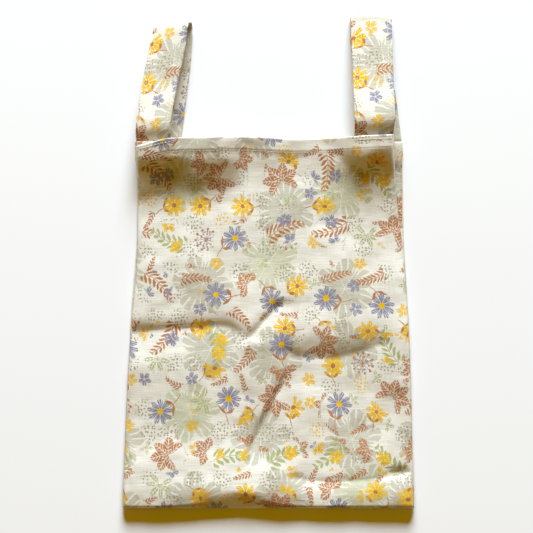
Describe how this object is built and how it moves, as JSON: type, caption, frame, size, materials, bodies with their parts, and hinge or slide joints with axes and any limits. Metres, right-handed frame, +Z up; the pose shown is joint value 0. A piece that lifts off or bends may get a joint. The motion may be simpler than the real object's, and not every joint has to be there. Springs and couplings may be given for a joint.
{
  "type": "cloth bento bag",
  "caption": "Flat-folded cloth bento bag with printed panels, fold-in side gussets, turned hems and two strap handles; the mouth opens about the bottom seam.",
  "frame": {"origin": "middle of the back panel's underside, on the surface that the bag lies on", "axes": "+X across the bag to the right as seen from above, +Y from the bottom seam towards the handles, +Z up out of the front panel"},
  "size_m": [0.2364, 0.402, 0.0104],
  "materials": {
    "printed_cotton": "matt plain weave, cream with a small printed botanical design",
    "strap_cotton": "matt plain weave folded to a flat strap, same printed cloth",
    "cream_thread": "matt spun sewing thread"
  },
  "bodies": {
    "back": {"back_panel": "printed_cotton", "back_hem": "printed_cotton", "back_hem_thread": "cream_thread", "left_rear_strap_end": "strap_cotton", "left_rear_tack_thread": "cream_thread", "right_rear_strap_end": "strap_cotton", "right_rear_tack_thread": "cream_thread", "bottom_seam_allowance": "printed_cotton", "bottom_seam_thread": "cream_thread"},
    "front": {"front_panel": "printed_cotton", "front_hem": "printed_cotton", "front_hem_thread": "cream_thread", "left_front_strap_end": "strap_cotton", "left_front_tack_thread": "cream_thread", "right_front_strap_end": "strap_cotton", "right_front_tack_thread": "cream_thread"},
    "left_rear_gusset_half": {"left_rear_gusset": "printed_cotton"},
    "left_front_gusset_half": {"left_front_gusset": "printed_cotton"},
    "right_rear_gusset_half": {"right_rear_gusset": "printed_cotton"},
    "right_front_gusset_half": {"right_front_gusset": "printed_cotton"},
    "left_rear_leg": {"left_rear_strap_leg": "strap_cotton", "left_rear_strap_left_thread": "cream_thread", "left_rear_strap_right_thread": "cream_thread"},
    "left_front_leg": {"left_front_strap_leg": "strap_cotton", "left_front_strap_left_thread": "cream_thread", "left_front_strap_right_thread": "cream_thread"},
    "right_rear_leg": {"right_rear_strap_leg": "strap_cotton", "right_rear_strap_left_thread": "cream_thread", "right_rear_strap_right_thread": "cream_thread"},
    "right_front_leg": {"right_front_strap_leg": "strap_cotton", "right_front_strap_left_thread": "cream_thread", "right_front_strap_right_thread": "cream_thread"}
  },
  "joints": [
    {"name": "mouth_open", "type": "hinge", "parent": "back", "child": "front", "pos_m": [0, -0.15, 0.00225], "axis": [1, 0, 0], "range_deg": [0, 13]},
    {"name": "left_rear_gusset_unfold", "type": "hinge", "parent": "back", "child": "left_rear_gusset_half", "pos_m": [-0.11825, -0.15, 0.0009], "axis": [-0.0558, -0.9984, 0], "range_deg": [0, 40]},
    {"name": "right_rear_gusset_unfold", "type": "hinge", "parent": "back", "child": "right_rear_gusset_half", "pos_m": [0.11825, -0.15, 0.0009], "axis": [-0.0292, 0.9996, 0], "range_deg": [0, 37.5]},
    {"name": "left_front_gusset_unfold", "type": "hinge", "parent": "front", "child": "left_front_gusset_half", "pos_m": [-0.11825, -0.15, 0.0021], "axis": [0.0292, 0.9993, 0.0227], "range_deg": [0, 37.5]},
    {"name": "right_front_gusset_unfold", "type": "hinge", "parent": "front", "child": "right_front_gusset_half", "pos_m": [0.11825, -0.15, 0.0021], "axis": [0.0558, -0.9982, -0.0226], "range_deg": [0, 40]},
    {"name": "left_rear_leg_lift", "type": "hinge", "parent": "back", "child": "left_rear_leg", "pos_m": [-0.085, 0.15, 0.0025], "axis": [1, 0, 0], "range_deg": [0, 27.5]},
    {"name": "left_crest_unfold", "type": "hinge", "parent": "left_rear_leg", "child": "left_front_leg", "pos_m": [-0.076, 0.248, 0.0049], "axis": [1, 0, 0], "range_deg": [-41, 0]},
    {"name": "right_rear_leg_lift", "type": "hinge", "parent": "back", "child": "right_rear_leg", "pos_m": [0.093, 0.15, 0.0025], "axis": [1, 0, 0], "range_deg": [0, 27.5]},
    {"name": "right_crest_unfold", "type": "hinge", "parent": "right_rear_leg", "child": "right_front_leg", "pos_m": [0.082, 0.248, 0.0049], "axis": [1, 0, 0], "range_deg": [-41, 0]}
  ],
  "couplings": [
    {"joint": "left_rear_gusset_unfold", "follows": "mouth_open", "ratio": 3.04},
    {"joint": "right_rear_gusset_unfold", "follows": "mouth_open", "ratio": 2.84},
    {"joint": "left_front_gusset_unfold", "follows": "mouth_open", "ratio": 2.84},
    {"joint": "right_front_gusset_unfold", "follows": "mouth_open", "ratio": 3.04},
    {"joint": "left_rear_leg_lift", "follows": "mouth_open", "ratio": 2.095},
    {"joint": "left_crest_unfold", "follows": "mouth_open", "ratio": -3.12},
    {"joint": "right_rear_leg_lift", "follows": "mouth_open", "ratio": 2.095},
    {"joint": "right_crest_unfold", "follows": "mouth_open", "ratio": -3.12}
  ]
}
